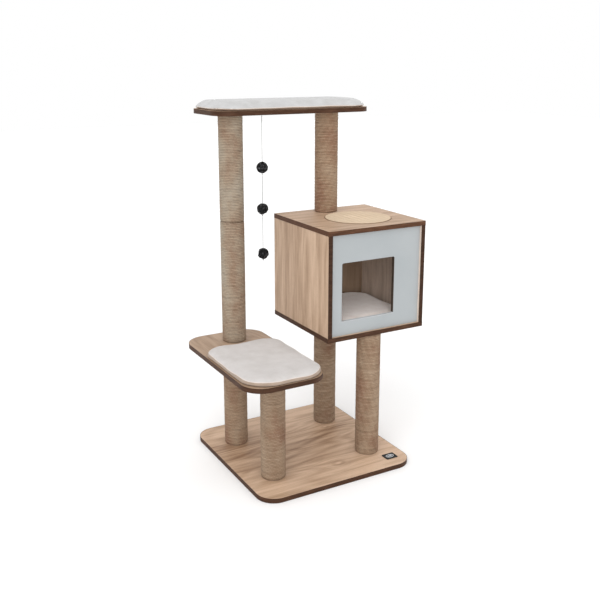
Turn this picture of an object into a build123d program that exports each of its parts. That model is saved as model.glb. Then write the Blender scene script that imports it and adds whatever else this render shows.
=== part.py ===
"""Cat tree: base, rope-wound posts, two shelves, a cube house, cushions and a hanging toy.

Millimetres. The origin is the centre of the base's underside, the doorway faces -Y and +Z is up.
"""

from build123d import *
import os

os.makedirs("parts", exist_ok=True)

# Boards: an area is (low x, high x, low y, high y)
BOARD = 15.0
BAND = 1.0
BASE_AREA = (-280.0, 280.0, -280.0, 280.0)
BASE_CORNER = 62.0
MIDDLE_AREA = (-334.0, -62.0, -300.0, 227.0)
MIDDLE_CORNER = 70.0
TOP_AREA = (-257.0, 318.0, 60.0, 304.0)
TOP_CORNER = 60.0

# Heights of the boards' undersides
MIDDLE_SHELF = 376.0
HOUSE_FLOOR = 441.0
HOUSE_ROOF = 788.0
TOP_SHELF = 1147.0
HOUSE_TOP = HOUSE_ROOF + BOARD

# Posts
POST_X = 180.0
POST_Y = 140.0
REAR_LEFT = (-POST_X, POST_Y)
FRONT_LEFT = (-POST_X, -POST_Y)
REAR_RIGHT = (POST_X, POST_Y)
FRONT_RIGHT = (POST_X, -POST_Y)
POST_RADIUS = 40.0
ROPE = 5.0
TUBE_RADIUS = POST_RADIUS - ROPE
TUBE_WALL = 3.0
CAP_RADIUS = TUBE_RADIUS - TUBE_WALL
CAP_LENGTH = 18.0
CAP_SETBACK = 0.5
INSERT_RADIUS = 6.0

# M8 bolts with a low socket head, sunk in a counterbore
BOLT_RADIUS = 3.9
BOLT_HOLE = 4.0
HEAD_RADIUS = 7.0
HEAD_HEIGHT = 4.0
SOCKET_RADIUS = 2.9
SOCKET_DEPTH = 2.5
WASHER_RADIUS = 10.0
WASHER_HEIGHT = 1.6
BORE_RADIUS = 11.0
BORE_DEPTH = 6.5
THREAD_REACH = 17.0

# House
HOUSE_AREA = (0.0, 374.0, -176.0, 188.0)
HOUSE_CORNER = 2.0
WALL_SETBACK = 1.0
PANEL_SETBACK = 10.0
PANEL = 12.0
DOOR_AREA = (57.0, 257.0, 502.0, 694.0)
DOOR_CORNER = 5.0
DOOR_BAND = 0.6

# House fittings
DOWEL_RADIUS = 3.0
DOWEL_LENGTH = 30.0
DOWEL_IN_BOARD = 10.0
FIT_GAP = 0.05
CAM_RADIUS = 7.4
CAM_HEIGHT = 12.0
CAM_INSET = 24.0
CAM_HOLE = 3.8
CAM_BOLT_RADIUS = 3.4

# Scratch pad on the roof
PAD_CENTRE = (210.0, -18.0)
PAD_RADIUS = 112.0
PAD_HEIGHT = 6.0
PAD_RECESS = 4.0

# Cushions: areas and heights above the board they lie on
TOP_CUSHION_AREA = (-256.0, 316.0, 61.0, 302.0)
TOP_CUSHION_HEIGHT = 28.0
MIDDLE_CUSHION_AREA = (-332.0, -64.0, -299.0, 66.0)
MIDDLE_CUSHION_CORNER = 60.0
MIDDLE_CUSHION_HEIGHT = 20.0
HOUSE_CUSHION_AREA = (20.0, 354.0, -150.0, 168.0)
HOUSE_CUSHION_CORNER = 55.0
HOUSE_CUSHION_HEIGHT = 30.0
CUSHION_GAP = 0.3
CUSHION_ROUND = 8.0

# Hook-and-loop patches
PATCH = (50.0, 25.0)
PATCH_HEIGHT = 1.3
PATCH_POCKET = 2.0
TOP_PATCH_GRID = (320.0, 150.0)
MIDDLE_PATCH_GRID = (150.0, 220.0)

# Name plate on the base
PLATE_CENTRE = (222.0, -219.0)
PLATE_SIZE = (44.0, 34.0)
PLATE_HEIGHT = 1.8
PLATE_CORNER = 3.0
PLATE_RIM = 1.6
PLATE_FIELD_DEPTH = 0.4

# Toy: a string with three balls
TOY = (-100.0, 75.0)
STRING_RADIUS = 0.8
KNOT_RADIUS = 2.2
KNOT_FLAT = 2.0
STRING_GAP = 0.7
BALL_RADIUS = 20.0
BALL_HEIGHTS = (980.0, 845.0, 696.0)
BALL_BORE = 0.9
ANCHOR_RADIUS = 4.0
ANCHOR_BORE = 5.5
ANCHOR_DEPTH = 5.0
SHELF_HOLE = 1.5
STUB_DROP = 1.0


def save(piece, label):
    """Labels a finished piece and writes its STEP file."""
    piece.part.label = label
    export_step(piece.part, f"parts/{label}.step")


def middle_of(area):
    low_x, high_x, low_y, high_y = area
    return ((low_x + high_x) / 2, (low_y + high_y) / 2)


def outline(area, corner, inset=0.0, mode=Mode.ADD):
    """Adds an area's rounded outline, pulled in by inset, to the open sketch."""
    low_x, high_x, low_y, high_y = area
    with Locations(middle_of(area)):
        RectangleRounded(
            high_x - low_x - 2 * inset, high_y - low_y - 2 * inset, corner - inset, mode=mode
        )


def block(low, high, mode=Mode.ADD):
    """Adds a box between two corners to the open part."""
    sides = [top - bottom for bottom, top in zip(low, high)]
    with Locations(low):
        Box(*sides, align=(Align.MIN, Align.MIN, Align.MIN), mode=mode)


def standing(radius, height, mode=Mode.ADD):
    """Adds a cylinder that stands on the current locations."""
    Cylinder(radius, height, align=(Align.CENTER, Align.CENTER, Align.MIN), mode=mode)


def facing_up(point, height):
    return Location((point[0], point[1], height))


def facing_down(point, height):
    return Location((point[0], point[1], height), (180, 0, 0))


def bolt_bores(places):
    """Counterbored bolt holes, each drilled into the face that its location faces out of."""
    with Locations(*places):
        CounterBoreHole(BOLT_HOLE, BORE_RADIUS, BORE_DEPTH)


# Where each bolt enters its board: a location that faces out of the board at the bolt's head
BASE_BOLTS = [facing_down(post, 0) for post in (REAR_LEFT, FRONT_LEFT, REAR_RIGHT, FRONT_RIGHT)]
MIDDLE_BOLTS = [facing_up(FRONT_LEFT, MIDDLE_SHELF + BOARD)]
FLOOR_BOLTS = [facing_up(post, HOUSE_FLOOR + BOARD) for post in (REAR_RIGHT, FRONT_RIGHT)]
ROOF_BOLTS = [facing_down(REAR_RIGHT, HOUSE_ROOF)]
TOP_BOLTS = [facing_up(post, TOP_SHELF + BOARD) for post in (REAR_LEFT, REAR_RIGHT)]
ALL_BOLTS = BASE_BOLTS + MIDDLE_BOLTS + FLOOR_BOLTS + ROOF_BOLTS + TOP_BOLTS

# ---------------------------------------------------------------- boards

with BuildPart() as base_board:
    with BuildSketch():
        outline(BASE_AREA, BASE_CORNER, BAND)
    extrude(amount=BOARD)
    bolt_bores(BASE_BOLTS)
save(base_board, "base_board")

with BuildPart() as middle_shelf:
    with BuildSketch(Plane.XY.offset(MIDDLE_SHELF)):
        outline(MIDDLE_AREA, MIDDLE_CORNER, BAND)
    extrude(amount=BOARD)
    bolt_bores(MIDDLE_BOLTS)
    with Locations(facing_up(REAR_LEFT, MIDDLE_SHELF + BOARD)):
        Hole(BOLT_HOLE)
save(middle_shelf, "middle_shelf")

with BuildPart() as top_shelf:
    with BuildSketch(Plane.XY.offset(TOP_SHELF)):
        outline(TOP_AREA, TOP_CORNER, BAND)
    extrude(amount=BOARD)
    bolt_bores(TOP_BOLTS)
    with Locations(facing_up(TOY, TOP_SHELF + BOARD)):
        CounterBoreHole(SHELF_HOLE, ANCHOR_BORE, ANCHOR_DEPTH)
save(top_shelf, "top_shelf")

BANDED_BOARDS = {
    "base_edge_band": (BASE_AREA, BASE_CORNER, 0.0),
    "middle_shelf_edge_band": (MIDDLE_AREA, MIDDLE_CORNER, MIDDLE_SHELF),
    "top_shelf_edge_band": (TOP_AREA, TOP_CORNER, TOP_SHELF),
    "house_floor_edge_band": (HOUSE_AREA, HOUSE_CORNER, HOUSE_FLOOR),
    "house_roof_edge_band": (HOUSE_AREA, HOUSE_CORNER, HOUSE_ROOF),
}

for band_name, (area, corner, underside) in BANDED_BOARDS.items():
    with BuildPart() as edge_band:
        with BuildSketch(Plane.XY.offset(underside)):
            outline(area, corner)
            outline(area, corner, BAND, Mode.SUBTRACT)
        extrude(amount=BOARD)
    save(edge_band, band_name)

# ---------------------------------------------------------------- house

LOW_X, HIGH_X, LOW_Y, HIGH_Y = HOUSE_AREA
WALL_BOTTOM = HOUSE_FLOOR + BOARD
WALL_HEIGHT = HOUSE_ROOF - WALL_BOTTOM
LEFT_INNER = LOW_X + WALL_SETBACK + BOARD
RIGHT_INNER = HIGH_X - WALL_SETBACK - BOARD
WALL_FRONT = LOW_Y + WALL_SETBACK
WALL_BACK = HIGH_Y - WALL_SETBACK
PANEL_FRONT = LOW_Y + PANEL_SETBACK
LEFT_MIDDLE = LEFT_INNER - BOARD / 2
RIGHT_MIDDLE = RIGHT_INNER + BOARD / 2
DOWEL_INSET = 20.0

LEFT_DOWELS = [(LEFT_MIDDLE, -100.0), (LEFT_MIDDLE, 110.0)]
RIGHT_DOWELS = [(RIGHT_MIDDLE, -100.0), (RIGHT_MIDDLE, 110.0)]
BACK_DOWELS = [
    (LEFT_INNER + 2 * DOWEL_INSET, WALL_BACK - BOARD / 2),
    (RIGHT_INNER - 2 * DOWEL_INSET, WALL_BACK - BOARD / 2),
]
FRONT_DOWELS = [
    (LEFT_INNER + DOWEL_INSET, PANEL_FRONT + PANEL / 2),
    (RIGHT_INNER - DOWEL_INSET, PANEL_FRONT + PANEL / 2),
]
ALL_DOWELS = LEFT_DOWELS + RIGHT_DOWELS + BACK_DOWELS + FRONT_DOWELS
CAM_Y = (-60.0, 70.0)
LEFT_CAMS = [(LEFT_MIDDLE, y) for y in CAM_Y]
RIGHT_CAMS = [(RIGHT_MIDDLE, y) for y in CAM_Y]
CAM_HEIGHTS = (WALL_BOTTOM + CAM_INSET, HOUSE_ROOF - CAM_INSET)


def drill_board(face_up, height):
    """Blind holes for dowels and cam bolts in the inner face of the floor or the roof."""
    place = facing_up if face_up else facing_down
    with Locations(*[place(point, height) for point in ALL_DOWELS]):
        Hole(DOWEL_RADIUS, DOWEL_IN_BOARD)
    with Locations(*[place(point, height) for point in LEFT_CAMS + RIGHT_CAMS]):
        Hole(CAM_BOLT_RADIUS + FIT_GAP, DOWEL_IN_BOARD)


def drill_edges(points, radius, depth):
    """Blind holes up from the wall's bottom edge and down from its top edge."""
    with Locations(*[facing_down(point, WALL_BOTTOM) for point in points]):
        Hole(radius, depth)
    with Locations(*[facing_up(point, HOUSE_ROOF) for point in points]):
        Hole(radius, depth)


with BuildPart() as house_floor:
    with BuildSketch(Plane.XY.offset(HOUSE_FLOOR)):
        outline(HOUSE_AREA, HOUSE_CORNER, BAND)
    extrude(amount=BOARD)
    bolt_bores(FLOOR_BOLTS)
    drill_board(True, WALL_BOTTOM)
save(house_floor, "house_floor")

with BuildPart() as house_roof:
    with BuildSketch(Plane.XY.offset(HOUSE_ROOF)):
        outline(HOUSE_AREA, HOUSE_CORNER, BAND)
    extrude(amount=BOARD)
    bolt_bores(ROOF_BOLTS)
    drill_board(False, HOUSE_ROOF)
    with Locations(facing_up(PAD_CENTRE, HOUSE_TOP)):
        Hole(PAD_RADIUS + BAND / 2, PAD_RECESS)
save(house_roof, "house_roof")

SIDE_WALLS = {
    "house_left_wall": (LEFT_INNER - BOARD, LEFT_INNER, (1, 0, 0), LEFT_DOWELS, LEFT_CAMS),
    "house_right_wall": (RIGHT_INNER, RIGHT_INNER + BOARD, (-1, 0, 0), RIGHT_DOWELS, RIGHT_CAMS),
}

for wall_name, (low_x, high_x, inward, dowels, cams) in SIDE_WALLS.items():
    inner_x = high_x if inward[0] > 0 else low_x
    pockets = [Plane((inner_x, y, z), z_dir=inward) for y in CAM_Y for z in CAM_HEIGHTS]
    with BuildPart() as side_wall:
        block((low_x, WALL_FRONT + BAND, WALL_BOTTOM), (high_x, WALL_BACK - BAND, HOUSE_ROOF))
        drill_edges(dowels, DOWEL_RADIUS, DOWEL_LENGTH - DOWEL_IN_BOARD)
        drill_edges(cams, CAM_HOLE, CAM_INSET)
        with Locations(*pockets):
            Hole(CAM_RADIUS + FIT_GAP, CAM_HEIGHT + FIT_GAP)
    save(side_wall, wall_name)

with BuildPart() as side_wall_edge_bands:
    for low_x in (LEFT_INNER - BOARD, RIGHT_INNER):
        for low_y in (WALL_FRONT, WALL_BACK - BAND):
            block((low_x, low_y, WALL_BOTTOM), (low_x + BOARD, low_y + BAND, HOUSE_ROOF))
save(side_wall_edge_bands, "side_wall_edge_bands")

with BuildPart() as house_back_wall:
    block((LEFT_INNER, WALL_BACK - BOARD, WALL_BOTTOM), (RIGHT_INNER, WALL_BACK, HOUSE_ROOF))
    drill_edges(BACK_DOWELS, DOWEL_RADIUS, DOWEL_LENGTH - DOWEL_IN_BOARD)
save(house_back_wall, "house_back_wall")

with BuildPart() as house_front_panel:
    with BuildSketch(Plane.XZ.offset(-PANEL_FRONT)):
        with Locations(((LEFT_INNER + RIGHT_INNER) / 2, WALL_BOTTOM + WALL_HEIGHT / 2)):
            Rectangle(RIGHT_INNER - LEFT_INNER, WALL_HEIGHT)
        outline(DOOR_AREA, DOOR_CORNER, -DOOR_BAND, Mode.SUBTRACT)
    extrude(amount=-PANEL)
    drill_edges(FRONT_DOWELS, DOWEL_RADIUS, DOWEL_LENGTH - DOWEL_IN_BOARD)
save(house_front_panel, "house_front_panel")

with BuildPart() as doorway_edge_band:
    with BuildSketch(Plane.XZ.offset(-PANEL_FRONT)):
        outline(DOOR_AREA, DOOR_CORNER, -DOOR_BAND)
        outline(DOOR_AREA, DOOR_CORNER, mode=Mode.SUBTRACT)
    extrude(amount=-PANEL)
save(doorway_edge_band, "doorway_edge_band")

with BuildPart() as house_dowels:
    for start in (WALL_BOTTOM - DOWEL_IN_BOARD, HOUSE_ROOF + DOWEL_IN_BOARD - DOWEL_LENGTH):
        with Locations(*[facing_up(point, start) for point in ALL_DOWELS]):
            standing(DOWEL_RADIUS - FIT_GAP, DOWEL_LENGTH)
save(house_dowels, "house_dowels")

CAM_SLOT = (1.6, 9.0, 1.5)
CAM_PLANES = [
    Plane((inner_x, y, z), z_dir=inward)
    for inner_x, inward in ((LEFT_INNER, (1, 0, 0)), (RIGHT_INNER, (-1, 0, 0)))
    for y in CAM_Y
    for z in CAM_HEIGHTS
]

with BuildPart() as cam_locks:
    with Locations(*CAM_PLANES):
        Cylinder(CAM_RADIUS, CAM_HEIGHT, align=(Align.CENTER, Align.CENTER, Align.MAX))
        Box(*CAM_SLOT, align=(Align.CENTER, Align.CENTER, Align.MAX), mode=Mode.SUBTRACT)
    lower, upper = CAM_HEIGHTS
    with Locations(*[facing_up(point, lower - CAM_RADIUS) for point in LEFT_CAMS + RIGHT_CAMS]):
        standing(CAM_HOLE, CAM_RADIUS, Mode.SUBTRACT)
    with Locations(*[facing_up(point, upper) for point in LEFT_CAMS + RIGHT_CAMS]):
        standing(CAM_HOLE, CAM_RADIUS, Mode.SUBTRACT)
save(cam_locks, "cam_locks")

CAM_BOLT_LENGTH = DOWEL_IN_BOARD + CAM_INSET - 2.0

with BuildPart() as cam_bolts:
    for start in (WALL_BOTTOM - DOWEL_IN_BOARD, HOUSE_ROOF + DOWEL_IN_BOARD - CAM_BOLT_LENGTH):
        with Locations(*[facing_up(point, start) for point in LEFT_CAMS + RIGHT_CAMS]):
            standing(CAM_BOLT_RADIUS, CAM_BOLT_LENGTH)
save(cam_bolts, "cam_bolts")

with BuildPart() as scratch_pad:
    with Locations(facing_up(PAD_CENTRE, HOUSE_TOP - PAD_RECESS)):
        standing(PAD_RADIUS, PAD_HEIGHT)
    fillet(scratch_pad.edges().group_by(Axis.Z)[-1], 1.5)
save(scratch_pad, "scratch_pad")

# ---------------------------------------------------------------- posts

POSTS = {
    "front_left": (FRONT_LEFT, BOARD, MIDDLE_SHELF),
    "front_right": (FRONT_RIGHT, BOARD, HOUSE_FLOOR),
    "rear_right_lower": (REAR_RIGHT, BOARD, HOUSE_FLOOR),
    "rear_right_upper": (REAR_RIGHT, HOUSE_TOP, TOP_SHELF),
    "rear_left_lower": (REAR_LEFT, BOARD, MIDDLE_SHELF),
    "rear_left_middle": (REAR_LEFT, MIDDLE_SHELF + BOARD, HOUSE_TOP),
    "rear_left_upper": (REAR_LEFT, HOUSE_TOP, TOP_SHELF),
}

for post_name, (centre, bottom, top) in POSTS.items():
    with BuildPart() as post_tube:
        with BuildSketch(Plane.XY.offset(bottom)):
            with Locations(centre):
                Circle(TUBE_RADIUS)
                Circle(CAP_RADIUS, mode=Mode.SUBTRACT)
        extrude(amount=top - bottom)
    save(post_tube, f"post_tube_{post_name}")

    with BuildPart() as rope_wrap:
        with BuildSketch(Plane.XY.offset(bottom)):
            with Locations(centre):
                Circle(POST_RADIUS)
                Circle(TUBE_RADIUS, mode=Mode.SUBTRACT)
        extrude(amount=top - bottom)
    save(rope_wrap, f"rope_wrap_{post_name}")

CAP_PLACES = [
    facing_up(centre, height)
    for centre, bottom, top in POSTS.values()
    for height in (bottom + CAP_SETBACK, top - CAP_SETBACK - CAP_LENGTH)
]

with BuildPart() as post_end_caps:
    with Locations(*CAP_PLACES):
        standing(CAP_RADIUS, CAP_LENGTH)
        standing(INSERT_RADIUS, CAP_LENGTH, Mode.SUBTRACT)
save(post_end_caps, "post_end_caps")

with BuildPart() as threaded_inserts:
    with Locations(*CAP_PLACES):
        standing(INSERT_RADIUS, CAP_LENGTH)
        standing(BOLT_HOLE, CAP_LENGTH, Mode.SUBTRACT)
save(threaded_inserts, "threaded_inserts")

# ---------------------------------------------------------------- fasteners

HEAD_TOP = BORE_DEPTH - WASHER_HEIGHT - HEAD_HEIGHT
BOLT_LENGTH = BOARD + THREAD_REACH - HEAD_TOP


def hung(depth):
    """A place that deep behind the face that the current locations face out of."""
    return Locations((0, 0, -depth))


with BuildPart() as post_bolts:
    with Locations(*ALL_BOLTS):
        with hung(HEAD_TOP + HEAD_HEIGHT):
            standing(HEAD_RADIUS, HEAD_HEIGHT)
        with hung(HEAD_TOP + BOLT_LENGTH):
            standing(BOLT_RADIUS, BOLT_LENGTH)
        with hung(HEAD_TOP + SOCKET_DEPTH):
            standing(SOCKET_RADIUS, SOCKET_DEPTH, Mode.SUBTRACT)
save(post_bolts, "post_bolts")

with BuildPart() as bolt_washers:
    with Locations(*ALL_BOLTS):
        with hung(BORE_DEPTH):
            standing(WASHER_RADIUS, WASHER_HEIGHT)
            standing(BOLT_HOLE, WASHER_HEIGHT, Mode.SUBTRACT)
save(bolt_washers, "bolt_washers")

STUDS = {MIDDLE_SHELF: MIDDLE_SHELF + BOARD, HOUSE_TOP: HOUSE_TOP}

with BuildPart() as joining_studs:
    for below, above in STUDS.items():
        with Locations(facing_up(REAR_LEFT, below - THREAD_REACH)):
            standing(BOLT_RADIUS, above - below + 2 * THREAD_REACH)
save(joining_studs, "joining_studs")

# ---------------------------------------------------------------- cushions

CUSHIONS = {
    "top": (TOP_CUSHION_AREA, TOP_CORNER, TOP_SHELF + BOARD, TOP_CUSHION_HEIGHT),
    "middle": (
        MIDDLE_CUSHION_AREA,
        MIDDLE_CUSHION_CORNER,
        MIDDLE_SHELF + BOARD,
        MIDDLE_CUSHION_HEIGHT,
    ),
    "house": (
        HOUSE_CUSHION_AREA,
        HOUSE_CUSHION_CORNER,
        HOUSE_FLOOR + BOARD,
        HOUSE_CUSHION_HEIGHT,
    ),
}
PATCHED = {"top": TOP_PATCH_GRID, "middle": MIDDLE_PATCH_GRID}


def patches(name, start, height, margin=0.0, mode=Mode.ADD):
    """Adds a cushion's four patches, start above its board, to the open part."""
    area, corner, board_top, thickness = CUSHIONS[name]
    width, depth = PATCH
    with Locations(facing_up(middle_of(area), board_top + start)):
        with GridLocations(*PATCHED[name], 2, 2):
            Box(
                width + 2 * margin,
                depth + 2 * margin,
                height,
                align=(Align.CENTER, Align.CENTER, Align.MIN),
                mode=mode,
            )


for cushion_name, (area, corner, board_top, thickness) in CUSHIONS.items():
    with BuildPart() as cushion:
        with BuildSketch(Plane.XY.offset(board_top + CUSHION_GAP)):
            outline(area, corner)
        extrude(amount=thickness - CUSHION_GAP)
        fillet(cushion.edges().group_by(Axis.Z)[-1], CUSHION_ROUND)
        fillet(cushion.edges().group_by(Axis.Z)[0], CUSHION_ROUND)
        if cushion_name in PATCHED:
            pocket = 2 * PATCH_HEIGHT + CUSHION_GAP
            patches(cushion_name, 0.0, pocket, PATCH_POCKET, Mode.SUBTRACT)
    save(cushion, f"{cushion_name}_cushion")

for cushion_name in PATCHED:
    with BuildPart() as loop_patches:
        patches(cushion_name, PATCH_HEIGHT + CUSHION_GAP, PATCH_HEIGHT)
    save(loop_patches, f"{cushion_name}_cushion_loop_patches")

with BuildPart() as shelf_hook_patches:
    for cushion_name in PATCHED:
        patches(cushion_name, 0.0, PATCH_HEIGHT)
save(shelf_hook_patches, "shelf_hook_patches")

# ---------------------------------------------------------------- name plate

with BuildPart() as name_plate:
    with BuildSketch(Plane.XY.offset(BOARD)):
        with Locations(PLATE_CENTRE):
            RectangleRounded(*PLATE_SIZE, PLATE_CORNER)
    extrude(amount=PLATE_HEIGHT)
    with BuildSketch(Plane.XY.offset(BOARD + PLATE_HEIGHT - PLATE_FIELD_DEPTH)):
        with Locations(PLATE_CENTRE):
            width, depth = PLATE_SIZE
            field_corner = PLATE_CORNER - PLATE_RIM
            RectangleRounded(width - 2 * PLATE_RIM, depth - 2 * PLATE_RIM, field_corner)
    extrude(amount=PLATE_FIELD_DEPTH, mode=Mode.SUBTRACT)
save(name_plate, "name_plate")

# ---------------------------------------------------------------- toy

STUB_END = TOP_SHELF - STUB_DROP
TOP_KNOT = STUB_END - STRING_GAP - KNOT_FLAT

with BuildPart() as toy_anchor_knot:
    seat = TOP_SHELF + BOARD - ANCHOR_DEPTH
    with Locations(facing_up(TOY, STUB_END)):
        standing(STRING_RADIUS, seat - STUB_END + ANCHOR_RADIUS / 2)
    with Locations(facing_up(TOY, seat)):
        Sphere(ANCHOR_RADIUS, arc_size1=0, align=(Align.CENTER, Align.CENTER, Align.MIN))
save(toy_anchor_knot, "toy_anchor_knot")

KNOT_HEIGHTS = {"toy_top_knot": TOP_KNOT}
STRING_SPANS = {}
string_start = TOP_KNOT - KNOT_FLAT - STRING_GAP

for level, ball_height in zip(("upper", "middle", "lower"), BALL_HEIGHTS):
    ball_foot = ball_height - BALL_RADIUS
    STRING_SPANS[f"toy_string_{level}"] = (ball_foot, string_start)
    KNOT_HEIGHTS[f"toy_{level}_knot"] = ball_foot - KNOT_FLAT
    string_start = ball_foot - 2 * KNOT_FLAT - STRING_GAP

    with BuildPart() as toy_ball:
        with Locations(facing_up(TOY, ball_height)):
            Sphere(BALL_RADIUS)
            Hole(BALL_BORE)
    save(toy_ball, f"toy_ball_{level}")

for knot_name, height in KNOT_HEIGHTS.items():
    with BuildPart() as knot:
        with Locations(facing_up(TOY, height)):
            Sphere(KNOT_RADIUS)
            Box(4 * KNOT_RADIUS, 4 * KNOT_RADIUS, 2 * KNOT_FLAT, mode=Mode.INTERSECT)
    save(knot, knot_name)

for string_name, (low, high) in STRING_SPANS.items():
    with BuildPart() as string:
        with Locations(facing_up(TOY, low)):
            standing(STRING_RADIUS, high - low)
    save(string, string_name)
    print(string_name, "length", high - low)
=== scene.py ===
"""The look of the cat tree: oak-print boards, roped posts, cushions, a scratch disc and a hanging toy."""

import math
import random

import bmesh
import bpy
import numpy as np
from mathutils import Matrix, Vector, noise
from mathutils.bvhtree import BVHTree


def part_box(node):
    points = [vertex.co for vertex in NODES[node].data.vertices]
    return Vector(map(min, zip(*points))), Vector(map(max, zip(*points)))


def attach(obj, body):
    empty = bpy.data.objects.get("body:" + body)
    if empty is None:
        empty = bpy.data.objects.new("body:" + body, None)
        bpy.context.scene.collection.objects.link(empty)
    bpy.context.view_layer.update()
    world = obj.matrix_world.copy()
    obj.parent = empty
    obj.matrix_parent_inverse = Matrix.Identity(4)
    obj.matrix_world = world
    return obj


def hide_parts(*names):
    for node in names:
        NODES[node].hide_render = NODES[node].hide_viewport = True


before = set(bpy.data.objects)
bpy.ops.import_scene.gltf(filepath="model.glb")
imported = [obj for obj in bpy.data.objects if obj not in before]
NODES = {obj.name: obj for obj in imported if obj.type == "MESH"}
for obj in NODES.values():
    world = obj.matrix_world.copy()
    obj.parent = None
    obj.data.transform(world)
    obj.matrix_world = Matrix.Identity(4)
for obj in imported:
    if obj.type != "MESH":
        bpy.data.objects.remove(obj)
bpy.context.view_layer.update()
MM = 0.001

# ---------------------------------------------------------------- camera and light

CAMERA_PLACE = (-1.2777, -2.2630, 1.3140)
CAMERA_AZIMUTH = -29.40
CAMERA_ELEVATION = 13.62
CAMERA_LENS = 48.86
CAMERA_SHIFT_Y = -0.07


def add_camera():
    data = bpy.data.cameras.new("camera")
    data.lens = CAMERA_LENS
    data.shift_y = CAMERA_SHIFT_Y
    camera = bpy.data.objects.new("camera", data)
    bpy.context.scene.collection.objects.link(camera)
    turn, rise = math.radians(CAMERA_AZIMUTH), math.radians(CAMERA_ELEVATION)
    back = Vector((math.sin(turn) * math.cos(rise), -math.cos(turn) * math.cos(rise), math.sin(rise)))
    camera.location = CAMERA_PLACE
    camera.rotation_mode = "QUATERNION"
    camera.rotation_quaternion = (-back).to_track_quat("-Z", "Y")
    bpy.context.scene.camera = camera


SUNS = {
    "key_light": {"seen_from": (-0.62, -0.55, 0.80), "power": 0.9, "spread": 50},
    "fill_light": {"seen_from": (-0.36, -0.90, 0.24), "power": 0.9, "spread": 30},
}


def add_light():
    world = bpy.data.worlds.new("studio")
    world.use_nodes = True
    background = world.node_tree.nodes["Background"]
    background.inputs["Color"].default_value = (1, 1, 1, 1)
    background.inputs["Strength"].default_value = 1.0
    bpy.context.scene.world = world
    bpy.context.scene.view_settings.view_transform = "Standard"
    for name, sun in SUNS.items():
        data = bpy.data.lights.new(name, "SUN")
        data.energy = sun["power"]
        data.angle = math.radians(sun["spread"])
        light = bpy.data.objects.new(name, data)
        bpy.context.scene.collection.objects.link(light)
        light.rotation_mode = "QUATERNION"
        light.rotation_quaternion = Vector(sun["seen_from"]).to_track_quat("Z", "Y")


add_camera()
add_light()

# ---------------------------------------------------------------- small tools


def random_source(*words):
    return random.Random("-".join(str(word) for word in words))


def ripple(values, waves, *seed):
    """A smooth seeded wander, mostly between -1 and 1: a few sines with wavelengths near those in waves."""
    source = random_source(*seed)
    total = np.zeros_like(values, dtype=float)
    for wave in waves:
        length = wave * source.uniform(0.85, 1.15)
        total += np.sin(values * (2 * math.pi / length) + source.uniform(0, 2 * math.pi))
    return total / math.sqrt(len(waves))


def linear(value):
    share = value / 255
    return share / 12.92 if share <= 0.04045 else ((share + 0.055) / 1.055) ** 2.4


def colour(red, green, blue):
    """A screen colour, 0 to 255 each, as linear light."""
    return (linear(red), linear(green), linear(blue), 1.0)


def mesh_object(name, vertices, faces, smooth=True):
    mesh = bpy.data.meshes.new(name)
    mesh.from_pydata([tuple(v) for v in vertices], [], faces)
    mesh.validate()
    if smooth:
        mesh.shade_smooth()
    obj = bpy.data.objects.new(name, mesh)
    bpy.context.scene.collection.objects.link(obj)
    return obj


def fit_out(obj, body, materials, replaces=()):
    """Puts a finished piece on its body, its materials and the nodes that it stands for."""
    for material in materials:
        obj.data.materials.append(material)
    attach(obj, body)
    if replaces:
        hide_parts(*replaces)
    return obj


def tube(points, radius, sides=10, closed=False, swell=None):
    """Vertices and faces of a round tube along points. swell is each ring's own radius factor."""
    points = np.asarray(points, float)
    count = len(points)
    ahead = np.roll(points, -1, 0) - np.roll(points, 1, 0)
    if not closed:
        ahead[0] = points[1] - points[0]
        ahead[-1] = points[-1] - points[-2]
    ahead /= np.linalg.norm(ahead, axis=1)[:, None]
    side = np.cross(ahead[0], (0.3, 0.5, 0.81))
    side /= np.linalg.norm(side)
    sides_of_rings = []
    for step in ahead:
        side = side - step * (side @ step)
        side /= np.linalg.norm(side)
        sides_of_rings.append(side)
    across = np.array(sides_of_rings)
    up = np.cross(ahead, across)
    turns = np.arange(sides) * (2 * math.pi / sides)
    factor = np.ones(count) if swell is None else np.asarray(swell)
    ring = across[:, None] * np.cos(turns)[None, :, None] + up[:, None] * np.sin(turns)[None, :, None]
    vertices = (points[:, None] + ring * (radius * factor)[:, None, None]).reshape(-1, 3)
    faces = []
    for row in range(count if closed else count - 1):
        following = (row + 1) % count
        for k in range(sides):
            j = (k + 1) % sides
            faces.append((row * sides + k, row * sides + j, following * sides + j, following * sides + k))
    if not closed:
        faces.append(tuple(range(sides))[::-1])
        faces.append(tuple((count - 1) * sides + k for k in range(sides)))
    return vertices, faces


def joined(parts):
    """Several (vertices, faces) as one."""
    vertices, faces, start = [], [], 0
    for some_vertices, some_faces in parts:
        vertices.append(np.asarray(some_vertices))
        faces += [tuple(start + index for index in face) for face in some_faces]
        start += len(some_vertices)
    return np.concatenate(vertices), faces


# ---------------------------------------------------------------- materials


def tinted(tones, light):
    """Ramp stops from (place, red, green, blue), each colour times light."""
    return [(place, colour(red * light, green * light, blue * light)) for place, red, green, blue in tones]


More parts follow.
